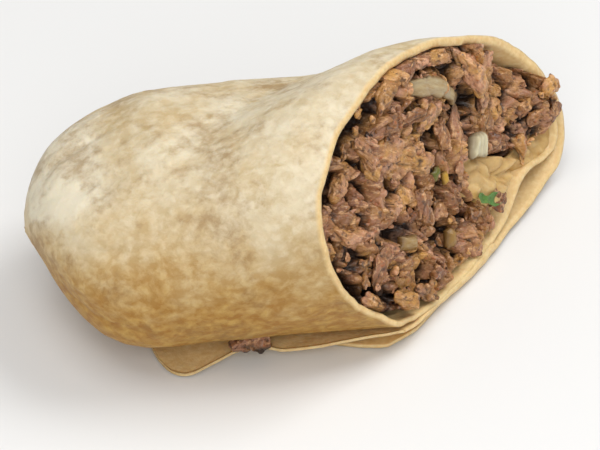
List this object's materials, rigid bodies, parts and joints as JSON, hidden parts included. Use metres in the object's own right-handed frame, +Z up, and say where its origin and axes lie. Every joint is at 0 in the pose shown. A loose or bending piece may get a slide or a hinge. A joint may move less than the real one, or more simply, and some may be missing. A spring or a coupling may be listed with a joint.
{
  "type": "burrito half",
  "caption": "Half of a beef burrito cut on the slant: flour tortilla rolled round chopped beef, one end folded shut, the cut face open, a free flap along the seam.",
  "frame": {"origin": "On the floor, under the middle of the part's bounding box.", "axes": "+X along the roll from the folded end to the cut, +Y from the seam side with the flap to the far side, +Z up."},
  "size_m": [0.12, 0.0666, 0.0549],
  "materials": {
    "flour_tortilla": null,
    "chopped_beef": null
  },
  "bodies": {
    "root": {"tortilla": "flour_tortilla", "beef_filling": "chopped_beef"}
  },
  "joints": []
}
